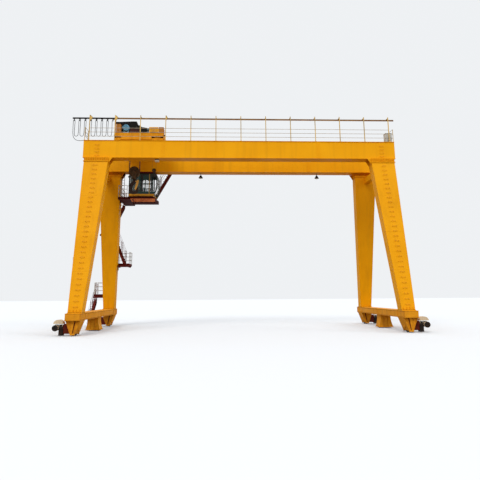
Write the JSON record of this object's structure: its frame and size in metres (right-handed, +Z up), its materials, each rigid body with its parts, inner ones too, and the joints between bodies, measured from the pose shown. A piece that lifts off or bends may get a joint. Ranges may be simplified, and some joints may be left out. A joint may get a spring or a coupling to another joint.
{
  "type": "double girder gantry crane",
  "caption": "Gantry crane with two box girders on leaning legs, a travelling trolley with a main and a small hook, a driver's cab, stairs and a trailing cable on a track.",
  "frame": {"origin": "middle of the crane's outline on the ground, at the lowest point of the wheels", "axes": "+X along the girders from the stair's end to the other, +Y across them from the side with the cable track to the side with the cab, +Z up"},
  "size_m": [27.84, 12.47, 17.6],
  "materials": {
    "yellow_paint": "gloss, weathered",
    "ochre_paint": "satin",
    "maroon_paint": "matt, weathered",
    "black_paint": "satin",
    "grey_steel": "galvanised",
    "wheel_steel": "worn tread",
    "blue_paint": "satin",
    "rope": "greased wire rope",
    "cable_rubber": "matt",
    "cab_glass": "tinted"
  },
  "bodies": {
    "crane": {"near_girder": "yellow_paint", "far_girder": "yellow_paint", "trolley_rails": "wheel_steel", "tie_beams": "yellow_paint", "near_left_leg": "yellow_paint", "near_right_leg": "yellow_paint", "far_left_leg": "yellow_paint", "far_right_leg": "yellow_paint", "left_ground_beam": "yellow_paint", "right_ground_beam": "yellow_paint", "wheel_boxes": "yellow_paint", "travel_drives": "maroon_paint", "anchor_pedestals": "yellow_paint", "climbing_rungs": "yellow_paint", "near_railing": "yellow_paint", "far_railing": "yellow_paint", "cable_track": "ochre_paint", "trailing_cable": "cable_rubber", "junction_boxes": "grey_steel", "lamps": "black_paint", "cab_floor": "yellow_paint", "cab_walls": "yellow_paint", "cab_glass": "cab_glass", "cab_roof": "black_paint", "cab_platform": "maroon_paint", "cab_hangers": "maroon_paint", "platform_railing": "grey_steel", "stair_flights": "maroon_paint", "stair_landings": "maroon_paint", "landing_railing": "grey_steel", "stair_brackets": "maroon_paint"},
    "trolley": {"trolley_frame": "yellow_paint", "trolley_wheels": "wheel_steel", "main_winch": "blue_paint", "small_winch": "ochre_paint", "winch_hood": "black_paint", "trolley_cabinet": "ochre_paint", "main_ropes": "rope", "small_ropes": "rope"},
    "main_hoist_block": {"main_block": "black_paint"},
    "main_hook_body": {"main_hook": "black_paint"},
    "small_hoist_block": {"small_block": "black_paint"},
    "small_hook_body": {"small_hook": "black_paint"},
    "near_left_wheel_body": {"near_left_wheel": "wheel_steel"},
    "near_right_wheel_body": {"near_right_wheel": "wheel_steel"},
    "far_left_wheel_body": {"far_left_wheel": "wheel_steel"},
    "far_right_wheel_body": {"far_right_wheel": "wheel_steel"},
    "carrier_1_body": {"carrier_1": "black_paint"},
    "carrier_2_body": {"carrier_2": "black_paint"},
    "carrier_3_body": {"carrier_3": "black_paint"},
    "carrier_4_body": {"carrier_4": "black_paint"},
    "carrier_5_body": {"carrier_5": "black_paint"},
    "carrier_6_body": {"carrier_6": "black_paint"},
    "carrier_7_body": {"carrier_7": "black_paint"}
  },
  "joints": [
    {"name": "trolley_travel", "type": "slide", "parent": "crane", "child": "trolley", "axis": [1, 0, 0], "range_m": [0, 17.5], "deforming": ["trailing_cable"]},
    {"name": "main_hoist", "type": "slide", "parent": "trolley", "child": "main_hoist_block", "axis": [0, 0, 1], "range_m": [-10.5, 0], "deforming": ["main_ropes"]},
    {"name": "main_hook_swivel", "type": "hinge", "parent": "main_hoist_block", "child": "main_hook_body", "pos_m": [-8.88, -0.335, 12.6], "axis": [0, 0, 1], "continuous": true},
    {"name": "small_hoist", "type": "slide", "parent": "trolley", "child": "small_hoist_block", "axis": [0, 0, 1], "range_m": [-12, 0], "deforming": ["small_ropes"]},
    {"name": "small_hook_swivel", "type": "hinge", "parent": "small_hoist_block", "child": "small_hook_body", "pos_m": [-7.18, -0.335, 13.25], "axis": [0, 0, 1], "continuous": true},
    {"name": "near_left_wheel_spin", "type": "hinge", "parent": "crane", "child": "near_left_wheel_body", "pos_m": [-11.67, -5.435, 0.425], "axis": [1, 0, 0], "continuous": true},
    {"name": "near_right_wheel_spin", "type": "hinge", "parent": "crane", "child": "near_right_wheel_body", "pos_m": [12.43, -5.435, 0.425], "axis": [1, 0, 0], "continuous": true},
    {"name": "far_left_wheel_spin", "type": "hinge", "parent": "crane", "child": "far_left_wheel_body", "pos_m": [-11.67, 4.765, 0.425], "axis": [1, 0, 0], "continuous": true},
    {"name": "far_right_wheel_spin", "type": "hinge", "parent": "crane", "child": "far_right_wheel_body", "pos_m": [12.43, 4.765, 0.425], "axis": [1, 0, 0], "continuous": true},
    {"name": "carrier_1_slide", "type": "slide", "parent": "crane", "child": "carrier_1_body", "axis": [1, 0, 0], "range_m": [0, 2.501]},
    {"name": "carrier_2_slide", "type": "slide", "parent": "carrier_1_body", "child": "carrier_2_body", "axis": [1, 0, 0], "range_m": [0, 2.501]},
    {"name": "carrier_3_slide", "type": "slide", "parent": "carrier_2_body", "child": "carrier_3_body", "axis": [1, 0, 0], "range_m": [0, 2.501]},
    {"name": "carrier_4_slide", "type": "slide", "parent": "carrier_3_body", "child": "carrier_4_body", "axis": [1, 0, 0], "range_m": [0, 2.501]},
    {"name": "carrier_5_slide", "type": "slide", "parent": "carrier_4_body", "child": "carrier_5_body", "axis": [1, 0, 0], "range_m": [0, 2.501]},
    {"name": "carrier_6_slide", "type": "slide", "parent": "carrier_5_body", "child": "carrier_6_body", "axis": [1, 0, 0], "range_m": [0, 2.501]},
    {"name": "carrier_7_slide", "type": "slide", "parent": "carrier_6_body", "child": "carrier_7_body", "axis": [1, 0, 0], "range_m": [0, 2.501]}
  ],
  "couplings": [
    {"joint": "carrier_1_slide", "follows": "trolley_travel", "ratio": 0.14286},
    {"joint": "carrier_2_slide", "follows": "trolley_travel", "ratio": 0.14286},
    {"joint": "carrier_3_slide", "follows": "trolley_travel", "ratio": 0.14286},
    {"joint": "carrier_4_slide", "follows": "trolley_travel", "ratio": 0.14286},
    {"joint": "carrier_5_slide", "follows": "trolley_travel", "ratio": 0.14286},
    {"joint": "carrier_6_slide", "follows": "trolley_travel", "ratio": 0.14286},
    {"joint": "carrier_7_slide", "follows": "trolley_travel", "ratio": 0.14286}
  ]
}
